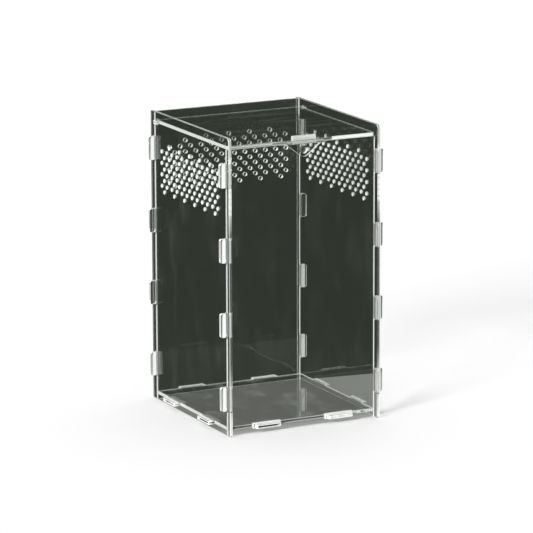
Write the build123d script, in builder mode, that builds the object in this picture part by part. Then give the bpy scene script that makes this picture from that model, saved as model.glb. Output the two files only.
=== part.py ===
from build123d import *
import os

# A small cage of laser-cut clear sheet, held together by tabs in slots, with a lid that
# swings up on two pins cut in one piece with it. Millimetres, +Z up, the front faces -Y,
# and the origin is on the ground under the middle of the box.

os.makedirs("parts", exist_ok=True)

# ---- driving dimensions -------------------------------------------------------------
box_width = 100.0  # over the side walls' outer faces
box_depth = 100.0  # over the front and back walls' outer faces
box_height = 178.6
sheet = 2.0  # every piece is cut from the same sheet
overhang = 3.4  # the side walls reach past the front and back walls
corner_radius = 1.0
front_corner_radius = 2.5  # the side walls' upper front corners
tab_reach = 3.7  # a tab stands out of the wall that it goes through
fit_gap = 0.1  # a slot is this much wider than the sheet
edge_gap = 0.05  # between a sheet's cut edge and the face that it stands against

# ---- places that follow from them ---------------------------------------------------
inner_x = box_width / 2 - sheet
inner_y = box_depth / 2 - sheet
side_depth = box_depth + 2 * overhang
mid_x = box_width / 2 - sheet / 2
mid_y = box_depth / 2 - sheet / 2

# ---- tabs and their slots -----------------------------------------------------------
wall_tab_count = 4
wall_tab_length = 15.2
floor_tab_length = 17.2
floor_tab_places = (-24.0, 24.0)
root_gap = 0.25  # between a tab's root and each end of its slot
head_gap = 0.40
neck_depth = 1.8  # how far the notches behind the head cut in
neck_start = 1.2
neck_end = 1.7
head_start = 2.6
head_radius = 1.1
slot_radius = 0.4
wall_tab_step = box_height / wall_tab_count
wall_tab_places = [wall_tab_step * (i + 0.5) for i in range(wall_tab_count)]
floor_height = 4.1  # the middle of the floor's thickness

# ---- ventilation holes --------------------------------------------------------------
vent_diameter = 2.5
vent_pitch = 3.5
vent_columns = 23
vent_top = 19.4  # from the wall's top down to the uppermost holes
# The rows that hold a hole, for each column in a repeat of four. Row -1 is the uppermost.
vent_rows = ((0, 2, 4, 6), (1, 3, 5, 7), (0, 2, 4, 6), (-1, 1, 3, 5))

# ---- lid, hinge and lock ------------------------------------------------------------
lid_height = box_height - 5.9  # the middle of the lid's thickness
lid_side_gap = 0.3
lid_rear_gap = 0.6
lid_rest_gap = 0.3  # between the lid's underside and the front wall's top edge
hinge_y = inner_y - 3.2
hinge_hole_diameter = 4.2
pin_width = 3.5
pin_reach = 1.4  # a pin stands out of the side wall's outer face
ear_base = 39.0
ear_front = 24.0
ear_reach = 4.0
ear_radius = 1.2
lock_gap = 0.3  # between the lock plate and the front wall
lock_tab_width = 15.2
lock_tab_rise = 2.6  # above the lid's top face
lock_width = 23.0
lock_apex_drop = 8.9  # from the lid's underside to where the two sloping sides would meet
lock_tip_radius = 3.5
lock_corner_radius = 0.3
lock_slot_gap = 0.5  # the slot is this much longer than the tab is wide
lock_hole_diameter = 4.0
lock_hole_drop = 4.1  # from the lid's underside to the middle of the hole

lid_under = lid_height - sheet / 2
lock_shoulder = lid_under - edge_gap
lock_mid_y = -box_depth / 2 - lock_gap - sheet / 2
lock_hole_height = lid_under - lock_hole_drop
front_wall_height = lid_under - lid_rest_gap


def tab(place, length, edge, axis, side):
    """A tab on one edge of a panel, in a sketch that is being built.

    It stands at place along the edge, which lies at edge from the sketch's middle, and it
    points along the sketch's X or Y axis, to the side +1 or -1. Its notched neck sits in
    the wall that it passes through, and its rounded head stands out beyond.
    """
    root = length / 2 - root_gap
    head = length / 2 - head_gap
    neck = root - neck_depth
    reach = sheet + tab_reach
    half = [(-sheet / 2, root), (0, root), (neck_start, neck), (neck_end, neck), (head_start, head)]
    tip = [(reach - head_radius, head), (reach, head - head_radius)]

    def at(out, along):
        u = side * (edge + out)
        v = place + along
        return (u, v) if axis == "X" else (v, u)

    upper = [at(out, along) for out, along in half + tip]
    lower = [at(out, -along) for out, along in half + tip]
    bulge = head_radius * (1 - 0.5**0.5)
    with BuildLine() as outline:
        Polyline(*upper[:-1])
        ThreePointArc(upper[-2], at(reach - bulge, head - bulge), upper[-1])
        Line(upper[-1], lower[-1])
        ThreePointArc(lower[-1], at(reach - bulge, bulge - head), lower[-2])
        Polyline(*lower[-2::-1])
        Line(lower[0], upper[0])
    make_face(outline.edges())


def vent_places():
    """The middles of the ventilation holes, across the wall and up it."""
    places = []
    for column in range(vent_columns):
        across = (column - (vent_columns - 1) / 2) * vent_pitch
        for row in vent_rows[column % len(vent_rows)]:
            places.append((across, box_height - vent_top - vent_pitch * (row + 1)))
    return places


def slot(across, up, width, height):
    """A closed slot with slightly rounded corners, cut in the sketch being built."""
    with Locations((across, up)):
        RectangleRounded(width, height, slot_radius, mode=Mode.SUBTRACT)


def side_outline():
    """A side wall's outline, with its holes and slots. Sketch X is the part's Y."""
    with BuildLine() as outline:
        FilletPolyline(
            (-side_depth / 2, 0),
            (side_depth / 2, 0),
            (side_depth / 2, box_height),
            (-side_depth / 2, box_height),
            radius=[corner_radius, corner_radius, corner_radius, front_corner_radius],
            close=True,
        )
    make_face(outline.edges())
    for up in wall_tab_places:
        for across in (-mid_y, mid_y):
            slot(across, up, sheet + fit_gap, wall_tab_length)
    for across in floor_tab_places:
        slot(across, floor_height, floor_tab_length, sheet + fit_gap)
    with Locations(*vent_places()):
        Circle(vent_diameter / 2, mode=Mode.SUBTRACT)
    with Locations((hinge_y, lid_height)):
        Circle(hinge_hole_diameter / 2, mode=Mode.SUBTRACT)


def end_outline(height):
    """The front or back wall's outline, with its tabs and the floor's slots. Sketch X is X."""
    with Locations((0, height / 2)):
        Rectangle(2 * (inner_x - edge_gap), height)
    for up in wall_tab_places:
        for side in (-1, 1):
            tab(up, wall_tab_length, inner_x, "X", side)
    for across in floor_tab_places:
        slot(across, floor_height, floor_tab_length, sheet + fit_gap)


# ---- side walls ---------------------------------------------------------------------
with BuildPart() as left_wall:
    with BuildSketch(Plane.YZ.offset(-mid_x)):
        side_outline()
    extrude(amount=sheet / 2, both=True)
left_wall.part.label = "left_wall"
export_step(left_wall.part, "parts/left_wall.step")

with BuildPart() as right_wall:
    with BuildSketch(Plane.YZ.offset(mid_x)):
        side_outline()
    extrude(amount=sheet / 2, both=True)
right_wall.part.label = "right_wall"
export_step(right_wall.part, "parts/right_wall.step")

# ---- front and back walls -----------------------------------------------------------
with BuildPart() as front_wall:
    with BuildSketch(Plane.XZ.offset(mid_y)):
        end_outline(front_wall_height)
        with Locations((0, lock_hole_height)):
            Circle(lock_hole_diameter / 2, mode=Mode.SUBTRACT)
    extrude(amount=sheet / 2, both=True)
front_wall.part.label = "front_wall"
export_step(front_wall.part, "parts/front_wall.step")

with BuildPart() as back_wall:
    with BuildSketch(Plane.XZ.offset(-mid_y)):
        end_outline(box_height)
        with Locations(*vent_places()):
            Circle(vent_diameter / 2, mode=Mode.SUBTRACT)
    extrude(amount=sheet / 2, both=True)
back_wall.part.label = "back_wall"
export_step(back_wall.part, "parts/back_wall.step")

# ---- floor --------------------------------------------------------------------------
with BuildPart() as floor:
    with BuildSketch(Plane.XY.offset(floor_height)):
        Rectangle(2 * (inner_x - edge_gap), 2 * (inner_y - edge_gap))
        for place in floor_tab_places:
            for side in (-1, 1):
                tab(place, floor_tab_length, inner_x, "X", side)
                tab(place, floor_tab_length, inner_y, "Y", side)
    extrude(amount=sheet / 2, both=True)
floor.part.label = "floor"
export_step(floor.part, "parts/floor.step")

# ---- lid, with its hinge pins and ear -----------------------------------------------
lid_half_width = inner_x - lid_side_gap
lid_front = -box_depth / 2
lid_rear = inner_y - lid_rear_gap
pin_length = box_width / 2 + pin_reach - lid_half_width

with BuildPart() as lid:
    with BuildSketch(Plane.XY.offset(lid_height)):
        with BuildLine():
            FilletPolyline(
                (-lid_half_width, lid_rear),
                (-lid_half_width, lid_front),
                (-ear_base / 2, lid_front),
                (-ear_front / 2, lid_front - ear_reach),
                (ear_front / 2, lid_front - ear_reach),
                (ear_base / 2, lid_front),
                (lid_half_width, lid_front),
                (lid_half_width, lid_rear),
                radius=ear_radius,
                close=True,
            )
        make_face()
        for side in (-1, 1):
            with Locations((side * (lid_half_width + pin_length / 2), hinge_y)):
                Rectangle(pin_length, pin_width)
        slot(0, lock_mid_y, lock_tab_width + lock_slot_gap, sheet + fit_gap)
    extrude(amount=sheet / 2, both=True)
lid.part.label = "lid"
export_step(lid.part, "parts/lid.step")

# ---- lock plate, which hangs from the ear -------------------------------------------
with BuildPart() as lock_plate:
    with BuildSketch(Plane.XZ.offset(-lock_mid_y)):
        with BuildLine():
            FilletPolyline(
                (-lock_width / 2, lock_shoulder),
                (0, lid_under - lock_apex_drop),
                (lock_width / 2, lock_shoulder),
                radius=[lock_corner_radius, lock_tip_radius, lock_corner_radius],
                close=True,
            )
        make_face()
        tab_height = edge_gap + sheet + lock_tab_rise
        with Locations((0, lock_shoulder + tab_height / 2)):
            Rectangle(lock_tab_width, tab_height)
        with Locations((0, lock_hole_height)):
            Circle(lock_hole_diameter / 2, mode=Mode.SUBTRACT)
    extrude(amount=sheet / 2, both=True)
lock_plate.part.label = "lock_plate"
export_step(lock_plate.part, "parts/lock_plate.step")
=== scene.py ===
"""The looks of a laser-cut clear acrylic cage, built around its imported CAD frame."""
import math

import bpy
from mathutils import Matrix, Vector

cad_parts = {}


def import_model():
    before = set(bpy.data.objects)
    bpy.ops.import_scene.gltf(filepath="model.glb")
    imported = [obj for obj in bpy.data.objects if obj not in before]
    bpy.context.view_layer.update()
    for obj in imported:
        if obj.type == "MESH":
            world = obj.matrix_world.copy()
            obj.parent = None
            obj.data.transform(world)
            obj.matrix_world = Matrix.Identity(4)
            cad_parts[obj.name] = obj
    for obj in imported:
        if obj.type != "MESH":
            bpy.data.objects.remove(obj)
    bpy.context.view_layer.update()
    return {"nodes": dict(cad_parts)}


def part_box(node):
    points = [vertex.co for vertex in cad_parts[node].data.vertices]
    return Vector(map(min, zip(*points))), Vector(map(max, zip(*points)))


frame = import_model()

MM = 0.001

# ---- camera ---------------------------------------------------------------------------
CAMERA_AZIMUTH = -26.5  # degrees; 0 looks along +Y
CAMERA_ELEVATION = 12.6
CAMERA_ROLL = -0.19
CAMERA_DISTANCE = 2.298
CAMERA_LENS = 258.0  # mm
CAMERA_SENSOR = 36.0  # mm
AIM_HEIGHT = 0.0874
AIM_RIGHT = 0.001

# ---- surroundings, linear light -------------------------------------------------------
PALE = (0.93, 0.93, 0.93)
FLOOR_ALBEDO = (0.80, 0.80, 0.80)
ROOM_LIGHT = 0.2
BACKDROP = (0.038, 0.0445, 0.035)  # what the sheets show behind them
TABLE = (0.385, 0.387, 0.378)  # what they show under the cage
TABLE_REAR = 51 * MM
TABLE_REAR_RIGHT = 57.9 * MM  # the rear edge of the slanted part, where x is 0
TABLE_SLANT = 0.13  # of that edge, seen to the right of the cage
TABLE_RIGHT = 112 * MM
TABLE_FRONT_AND_LEFT = -54 * MM
UNDER_CAGE = 51 * MM  # half the width of the table that lies under the cage
SHADE_STARTS = -46 * MM  # in y, under the cage
SHADE_FULL = -28 * MM
SHADE_DEPTH = 0.38
BEYOND_CAGE = 50 * MM  # to the right of this the table is a little darker
BEYOND_DEPTH = 0.15
GROUND_RADIUS = 12.0
GROUND_DROP = 0.2 * MM

# ---- acrylic --------------------------------------------------------------------------
SHEET_TINT = (0.94, 0.946, 0.938)  # passed at each face, so its square is passed by a sheet
ACRYLIC_IOR = 1.49
# EDGE_WHITE is painted light: the cut faces' white stands in for the light that their polished
# edges pipe and catch, and their borders for painted highlights.
EDGE_WHITE = (0.88, 0.9, 0.88)
EDGE_ROUGHNESS = 0.35
# The white of the painted light where tabs stand out of the walls, and of the real dust and
# specks.
LIGHT_AND_DUST_WHITE = (0.86, 0.88, 0.86)
LIGHT_AND_DUST_ROUGHNESS = 0.5
FADE = 0.2 * MM  # over which a painted light or a painted border highlight comes and goes
SPECK_SCALE = 300.0
SPECK_SIZE = 0.06
SPECK_STRENGTH = 0.12

# ---- places on the part, measured from its middle or its foot -------------------------
WALL_FACE = 50.2 * MM  # just outside the outer faces that the tabs come through
# Where the painted light on a tab ends, beside its wall.
TAB_LIGHT_END = 52.4 * MM
TAB_END = 53.3 * MM
SIDE_FRONT = -53 * MM  # just behind the side walls' front ends
WALL_TOP = 178 * MM  # just below the walls' upper edges
HINGE_AND_SLOTS = 42 * MM  # further out than this, a side wall has its slots and hinge hole
FOOT = 0.5 * MM
FLOOR_SLOT_TOP = 6 * MM
EAR_START = -50.5 * MM
LID_FRONT = -49.9 * MM
LID_SIDE = 48 * MM
# Where the painted light on the lock plate's tab starts.
LOCK_LIGHT_START = 171.8 * MM
LOCK_HOLE_Z = 167.6 * MM
LOCK_HOLE_REACH = 2.1 * MM  # just over the hole's radius
FLOOR_TAB_X = 24 * MM
FLOOR_SLOT_LENGTH = 17.2 * MM
FLOOR_SLOT_HEIGHT = 2.1 * MM
FLOOR_MIDDLE = 4.1 * MM
MID_HEIGHT = 89.3 * MM
TAB_STEP = 44.65 * MM  # from one of a wall's tabs to the next


class Nodes:
    """A short way to write a node tree: add a node, set its inputs, and link to them."""

    def __init__(self, tree):
        self.tree = tree
        tree.nodes.clear()

    def add(self, kind, **inputs):
        node = self.tree.nodes.new(kind)
        for name, value in inputs.items():
            self.feed(node, name.replace("_", " "), value)
        return node

    def feed(self, node, name, value):
        socket = node.inputs[int(name)] if name.isdigit() else node.inputs[name]
        if isinstance(value, bpy.types.NodeSocket):
            self.tree.links.new(value, socket)
        elif hasattr(socket.default_value, "__len__") and len(socket.default_value) == 4:
            socket.default_value = (*value, 1.0)
        else:
            socket.default_value = value

    def math(self, operation, first, second=0.0):
        node = self.tree.nodes.new("ShaderNodeMath")
        node.operation = operation
        self.feed(node, "0", first)
        self.feed(node, "1", second)
        return node.outputs[0]

    def ramp(self, value, low, high, to_low=0.0, to_high=1.0):
        """value taken smoothly from low..high to to_low..to_high."""
        node = self.tree.nodes.new("ShaderNodeMapRange")
        node.interpolation_type = "SMOOTHSTEP"
        for name, number in zip(("0", "1", "2", "3", "4"), (value, low, high, to_low, to_high)):
            self.feed(node, name, number)
        return node.outputs[0]

    def mix(self, factor, first, second):
        node = self.tree.nodes.new("ShaderNodeMixShader")
        self.feed(node, "0", factor)
        self.tree.links.new(first, node.inputs[1])
        self.tree.links.new(second, node.inputs[2])
        return node.outputs[0]

    def place(self):
        """The place on the part, in metres, as three sockets."""
        here = self.add("ShaderNodeTexCoord").outputs["Object"]
        axes = self.add("ShaderNodeSeparateXYZ", Vector=here).outputs
        return here, axes["X"], axes["Y"], axes["Z"]

    def acrylic(self):
        """Clear acrylic: it bends light as the real sheet does, and lets the lamps through."""
        glass = self.add("ShaderNodeBsdfGlass", Color=SHEET_TINT, Roughness=0.0, IOR=ACRYLIC_IOR)
        open_air = self.add("ShaderNodeBsdfTransparent", Color=(1, 1, 1))
        path = self.add("ShaderNodeLightPath")
        return self.mix(path.outputs["Is Shadow Ray"], glass.outputs[0], open_air.outputs[0])

    # White diffuse, lit by the lamps: painted light on the cut faces and where tabs stand out of
    # walls, and the real dust on the sheets.
    def white_for_light_and_dust(self, colour, roughness):
        light_and_dust = self.add("ShaderNodeBsdfPrincipled", Base_Color=colour, Roughness=roughness)
        return light_and_dust.outputs[0]

    def surface(self, socket):
        self.add("ShaderNodeOutputMaterial", Surface=socket)


def new_material(name):
    material = bpy.data.materials.new(name)
    material.use_nodes = True
    return material, Nodes(material.node_tree)


def tab_root(n, out):
    """The part of a tab beside the wall that it comes through."""
    begins = n.ramp(out, WALL_FACE, WALL_FACE + FADE)
    ends = n.ramp(out, TAB_LIGHT_END, TAB_LIGHT_END + FADE, 1.0, 0.0)
    return n.math("MULTIPLY", begins, ends)


def smudges(n, here, scale, stretch):
    """Faint wiped dust, in patches drawn out along one axis."""
    squeezed = n.add("ShaderNodeMapping", Vector=here, Scale=stretch).outputs[0]
    cloud = n.add("ShaderNodeTexNoise", Vector=squeezed, Scale=scale, Detail=5.0)
    return n.ramp(cloud.outputs[0], 0.5, 0.8)


def specks(n, here):
    dots = n.add("ShaderNodeTexVoronoi", Vector=here, Scale=SPECK_SCALE)
    return n.ramp(dots.outputs["Distance"], SPECK_SIZE, SPECK_SIZE / 2)


def no_painted_light(n, x, y, z):
    return 0.0


def tab_painted_light(n, x, y, z):
    """Painted light: every tab gets a white haze where it stands out of the wall that it goes
    through, standing in for light refracted through the tab.
    """
    out = n.math("MAXIMUM", n.math("ABSOLUTE", x), n.math("ABSOLUTE", y))
    return tab_root(n, out)


def front_painted_light(n, x, y, z):
    """Painted light on the front wall's own tabs, fainter at the right, and a painted white rim
    of light around the slots of the floor's tabs."""
    from_slot = n.math("ABSOLUTE", n.math("SUBTRACT", n.math("ABSOLUTE", x), FLOOR_TAB_X))
    sideways = n.math("SUBTRACT", from_slot, FLOOR_SLOT_LENGTH / 2)
    upward = n.math("ABSOLUTE", n.math("SUBTRACT", z, FLOOR_MIDDLE))
    upward = n.math("SUBTRACT", upward, FLOOR_SLOT_HEIGHT / 2)
    rim = n.ramp(n.math("MAXIMUM", sideways, upward), 0.5 * MM, 0.8 * MM, 0.6, 0.0)
    by_side = n.ramp(x, -MM, MM, 0.9, 0.6)
    return n.math("MAXIMUM", n.math("MULTIPLY", tab_painted_light(n, x, y, z), by_side), rim)


def back_tab_painted_light(n, x, y, z):
    """Painted light on the back wall's tabs, as on every tab, but three tabs stayed clear: the
    two middle ones of the left edge, and the upper of the two middle ones of the right edge."""
    from_middle = n.math("ABSOLUTE", n.math("SUBTRACT", z, MID_HEIGHT))
    outer = n.ramp(from_middle, 40 * MM, 50 * MM, 0.03, 0.95)
    below_middle = n.ramp(z, MID_HEIGHT - 5 * MM, MID_HEIGHT + 5 * MM, 0.95, 0.0)
    lower_right = n.math("MULTIPLY", below_middle, n.ramp(x, -MM, MM))
    # How much painted light each tab gets.
    tab_light_share = n.math("MAXIMUM", outer, lower_right)
    return n.math("MULTIPLY", tab_root(n, n.math("ABSOLUTE", x)), tab_light_share)


def lock_painted_light(n, x, y, z):
    """Painted light, at half strength, on the lock plate's tab, from the lid's underside
    upwards.
    """
    return n.math("MULTIPLY", n.ramp(z, LOCK_LIGHT_START, LOCK_LIGHT_START + FADE), 0.5)


def clear_sheet(node, painted_light):
    """A sheet's broad faces: clear acrylic, with painted light in white at the tab roots, as the
    function it is given says, and real dust and specks.
    """
    material, n = new_material("clear_" + node)
    here, x, y, z = n.place()
    strength, scale, stretch = DUST[node]
    dust = n.math("MULTIPLY", smudges(n, here, scale, stretch), strength)
    dots = n.math("MULTIPLY", specks(n, here), SPECK_STRENGTH)
    dirty = n.math("MAXIMUM", dust, dots)
    # Painted light at the tab roots and real dust both whiten the sheet here.
    light_and_dust = n.math("MAXIMUM", painted_light(n, x, y, z), dirty)
    n.surface(n.mix(light_and_dust, n.acrylic(), n.white_for_light_and_dust(LIGHT_AND_DUST_WHITE, LIGHT_AND_DUST_ROUGHNESS)))
    return material


def cut_edge(node, axis, middle, kind):
    """A laser-cut face in painted light: painted white highlights along its two borders, and
    between them as much painted white as its kind says, standing in for the light that the edge
    pipes and catches. The borders run along the sheet, so they lie by its axis of thickness."""
    material, n = new_material(f"cut_{kind}_{node}")
    _, x, y, z = n.place()
    if kind in SHADED_CENTRES:
        light_and_dust = SHADED_CENTRES[kind](n, x, y, z)
    else:
        light_and_dust = PLAIN_CENTRES[kind]
    if kind not in WITHOUT_BORDERS:
        across = n.math("ABSOLUTE", n.math("SUBTRACT", (x, y, z)[axis], middle))
        border = n.ramp(across, 0.5 * MM, 0.5 * MM + FADE)
        border = n.math("MULTIPLY", border, BORDERS.get(kind, USUAL_BORDER))
        light_and_dust = n.math("MAXIMUM", border, light_and_dust)
    n.surface(n.mix(light_and_dust, n.acrylic(), n.white_for_light_and_dust(EDGE_WHITE, EDGE_ROUGHNESS)))
    return material


def end_centre(n, x, y, z):
    """The side walls' front ends: painted light near the top and the bottom, clear between, and
    clear where a tab goes through behind. The right-hand border gets the brighter painted
    highlight."""
    top = n.ramp(z, 112 * MM, 136 * MM, 0.0, 0.4)
    bottom = n.ramp(z, 55 * MM, 12 * MM, 0.0, 0.5)
    ends = n.math("MAXIMUM", n.math("MAXIMUM", top, bottom), 0.08)
    from_tab = n.math("SUBTRACT", TAB_STEP / 2, n.math("PINGPONG", z, TAB_STEP / 2))
    ends = n.math("MULTIPLY", ends, n.ramp(from_tab, 7.2 * MM, 7.8 * MM, 0.3, 1.0))
    to_the_right = n.math("PINGPONG", n.math("ADD", x, 100 * MM), 2 * MM)
    border = n.ramp(to_the_right, 1.2 * MM, 1.5 * MM, 0.0, 0.3)
    return n.math("ADD", ends, border)


def floor_tab_centre(n, x, y, z):
    """The floor's tabs: clear at the left, painted light at the right."""
    return n.ramp(x, -5 * MM, 5 * MM, 0.02, 0.5)


def lock_centre(n, x, y, z):
    """The lock plate's outline: painted light, bright around the plate, softer on the tab above
    it.
    """
    return n.ramp(z, 171 * MM, 172 * MM, 0.9, 0.4)


def lid_front_centre(n, x, y, z):
    """The lid's front edge: painted light, brighter to the right of the lock."""
    return n.ramp(x, -5 * MM, 15 * MM, 0.22, 0.6)


# How strong the dust is on each sheet, the size of its patches, and how they are drawn out.
DUST = {
    "left_wall": (0.012, 60.0, (1, 1, 0.5)),
    "right_wall": (0.012, 60.0, (1, 1, 0.4)),
    "front_wall": (0.01, 60.0, (1, 1, 0.4)),
    "back_wall": (0.012, 60.0, (1, 1, 0.4)),
    "floor": (0.1, 110.0, (1, 0.6, 1)),
    "lid": (0.04, 110.0, (0.25, 1, 1)),
    "lock_plate": (0.01, 60.0, (1, 1, 1)),
}

# Which painted light each sheet gets where its tabs stand out of the walls.
PAINTED_LIGHTS = {
    "front_wall": front_painted_light,
    "back_wall": back_tab_painted_light,
    "floor": tab_painted_light,
    "lock_plate": lock_painted_light,
}

# How much painted light each kind of cut face gets between its borders: the bright ones are
# painted as carrying the light that the sheet gathers, the dim ones as shaded. The bores are the
# two lock holes.
PLAIN_CENTRES = {"bright": 0.9, "dim": 0.15, "top": 0.15, "ear": 0.1, "bore": 0.05}
SHADED_CENTRES = {
    "end": end_centre,
    "lid": lid_front_centre,
    "floor_tab": floor_tab_centre,
    "lock": lock_centre,
}
WITHOUT_BORDERS = ("lid", "end", "ear")
USUAL_BORDER = 0.9  # how much painted highlight the borders get
BORDERS = {"top": 0.5, "bore": 0.3}  # where that differs


def dress(node):
    """Gives a sheet's broad faces a clear material of their own, and its cut faces theirs."""
    obj = frame["nodes"][node]
    low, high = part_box(node)
    size = high - low
    thin = min(range(3), key=lambda axis: size[axis])
    middle = (low[thin] + high[thin]) / 2
    obj.data.materials.clear()
    places = {"broad": 0}
    obj.data.materials.append(clear_sheet(node, PAINTED_LIGHTS.get(node, no_painted_light)))
    for face in obj.data.polygons:
        kind = face_kind(node, face, thin)
        if kind not in places:
            places[kind] = len(places)
            obj.data.materials.append(cut_edge(node, thin, middle, kind))
        face.material_index = places[kind]


def face_kind(node, face, thin):
    """Which of the materials a face gets, by where it is and which way it looks: the bright kind
    is painted lit and the dim kind painted shaded.
    """
    if abs(face.normal[thin]) > 0.9:
        return "broad"
    x, y, z = face.center
    nx, ny, nz = face.normal
    if node in ("left_wall", "right_wall"):
        if ny < -0.5 and y < SIDE_FRONT:
            return "end"
        if z > WALL_TOP:
            return "top"
        in_slot = abs(y) > HINGE_AND_SLOTS or FOOT < z < FLOOR_SLOT_TOP
        return "dim" if in_slot else "bright"
    if node == "lid":
        if y < EAR_START:
            return "ear"
        if ny < -0.5 and y < LID_FRONT:
            return "lid"
        return "bright" if nx < -0.5 and abs(x) < LID_SIDE else "dim"
    if node == "lock_plate":
        return "bore" if math.hypot(x, z - LOCK_HOLE_Z) < LOCK_HOLE_REACH else "lock"
    if node == "front_wall" and max(abs(x), abs(z - LOCK_HOLE_Z)) < LOCK_HOLE_REACH:
        return "bore"
    if max(abs(x), abs(y)) > TAB_END:
        flat = max(-nx, abs(ny)) > 0.95
        if flat and node == "floor":
            return "floor_tab"
        return "dim" if flat else "bright"
    if node == "floor":
        return "dim" if ny < -0.5 else "bright"
    return "top" if z > WALL_TOP else "bright"


def world():
    """Pale to the camera, dark behind and around the sheets, and a dim white to light by."""
    scene_world = bpy.data.worlds.new("studio")
    bpy.context.scene.world = scene_world
    scene_world.use_nodes = True
    n = Nodes(scene_world.node_tree)
    path = n.add("ShaderNodeLightPath")
    pale = n.add("ShaderNodeBackground", Color=PALE, Strength=1.0)
    room = n.add("ShaderNodeBackground", Color=(1, 1, 1), Strength=ROOM_LIGHT)
    dark = n.add("ShaderNodeBackground", Color=BACKDROP, Strength=1.0)
    bent = n.math("MAXIMUM", path.outputs["Is Transmission Ray"], path.outputs["Is Glossy Ray"])
    lit = n.mix(path.outputs["Is Camera Ray"], room.outputs[0], pale.outputs[0])
    n.add("ShaderNodeOutputWorld", Surface=n.mix(bent, lit, dark.outputs[0]))


def ground():
    """A plain pale floor. Rays that passed through or bounced off a sheet see a dark
    surrounding instead, and a grey table under the cage and to the right of it."""
    bpy.ops.mesh.primitive_circle_add(vertices=96, radius=GROUND_RADIUS, fill_type="NGON")
    floor = bpy.context.object
    floor.name = "studio_floor"
    floor.location.z = -GROUND_DROP
    material, n = new_material("studio_floor")
    path = n.add("ShaderNodeLightPath")
    place = n.add("ShaderNodeNewGeometry")
    axes = n.add("ShaderNodeSeparateXYZ", Vector=place.outputs["Position"])
    x, y = axes.outputs["X"], axes.outputs["Y"]
    slanted = n.math("ADD", y, n.math("MULTIPLY", x, TABLE_SLANT))
    bounds = (
        (y, TABLE_REAR),
        (slanted, TABLE_REAR_RIGHT),
        (x, TABLE_RIGHT),
        (TABLE_FRONT_AND_LEFT, y),
        (TABLE_FRONT_AND_LEFT, x),
    )
    on_table = 1.0
    for less, more in bounds:
        on_table = n.math("MULTIPLY", on_table, n.math("LESS_THAN", less, more))
    inside = n.math("LESS_THAN", n.math("ABSOLUTE", x), UNDER_CAGE)
    through_a_sheet = n.math("MAXIMUM", inside, path.outputs["Is Transmission Ray"])
    on_table = n.math("MULTIPLY", on_table, through_a_sheet)
    shade = n.math("MULTIPLY", n.ramp(y, SHADE_STARTS, SHADE_FULL), inside)
    beyond = n.ramp(x, BEYOND_CAGE, BEYOND_CAGE + 2 * MM, 0.0, BEYOND_DEPTH)
    light = n.math("SUBTRACT", 1.0, beyond)
    light = n.math("SUBTRACT", light, n.math("MULTIPLY", shade, SHADE_DEPTH))
    pale = n.add("ShaderNodeBsdfDiffuse", Color=FLOOR_ALBEDO)
    table = n.add("ShaderNodeEmission", Color=TABLE, Strength=light)
    backdrop = n.add("ShaderNodeEmission", Color=BACKDROP)
    bent = n.math("MAXIMUM", path.outputs["Is Transmission Ray"], path.outputs["Is Glossy Ray"])
    through = n.mix(on_table, backdrop.outputs[0], table.outputs[0])
    n.add("ShaderNodeOutputMaterial", Surface=n.mix(bent, pale.outputs[0], through))
    floor.data.materials.append(material)


def soft_sun(name, azimuth, elevation, strength, spread):
    """A lamp far off that lights the part and the floor evenly and isn't mirrored in either."""
    data = bpy.data.lights.new(name, "SUN")
    data.energy = strength
    data.angle = math.radians(spread)
    lamp = bpy.data.objects.new(name, data)
    turn, rise = math.radians(azimuth), math.radians(elevation)
    towards = Vector((
        math.sin(turn) * math.cos(rise), -math.cos(turn) * math.cos(rise), math.sin(rise)
    ))
    lamp.rotation_euler = towards.to_track_quat("Z", "Y").to_euler()
    lamp.visible_camera = False
    lamp.visible_glossy = False
    lamp.visible_transmission = False
    bpy.context.scene.collection.objects.link(lamp)


def camera():
    azimuth = math.radians(CAMERA_AZIMUTH)
    elevation = math.radians(CAMERA_ELEVATION)
    right = Vector((math.cos(azimuth), math.sin(azimuth), 0))
    back = Vector((
        math.sin(azimuth) * math.cos(elevation),
        -math.cos(azimuth) * math.cos(elevation),
        math.sin(elevation),
    ))
    data = bpy.data.cameras.new("camera")
    data.lens = CAMERA_LENS
    data.sensor_width = CAMERA_SENSOR
    data.clip_end = 50.0
    eye = bpy.data.objects.new("camera", data)
    eye.location = Vector((0, 0, AIM_HEIGHT)) + right * AIM_RIGHT + back * CAMERA_DISTANCE
    turn = back.to_track_quat("Z", "Y").to_matrix()
    roll = Matrix.Rotation(math.radians(CAMERA_ROLL), 3, "Z")
    eye.rotation_euler = (turn @ roll).to_euler()
    bpy.context.scene.collection.objects.link(eye)
    bpy.context.scene.camera = eye


for name in frame["nodes"]:
    dress(name)

world()
ground()
soft_sun("key", azimuth=-60, elevation=24, strength=5.6, spread=20)
soft_sun("top", azimuth=150, elevation=70, strength=1.2, spread=60)
camera()

scene = bpy.context.scene
scene.view_settings.view_transform = "Standard"
scene.cycles.max_bounces = 24
scene.cycles.transmission_bounces = 20
scene.cycles.glossy_bounces = 8
scene.cycles.transparent_max_bounces = 32
scene.cycles.caustics_reflective = False
scene.cycles.caustics_refractive = False

bpy.context.view_layer.update()
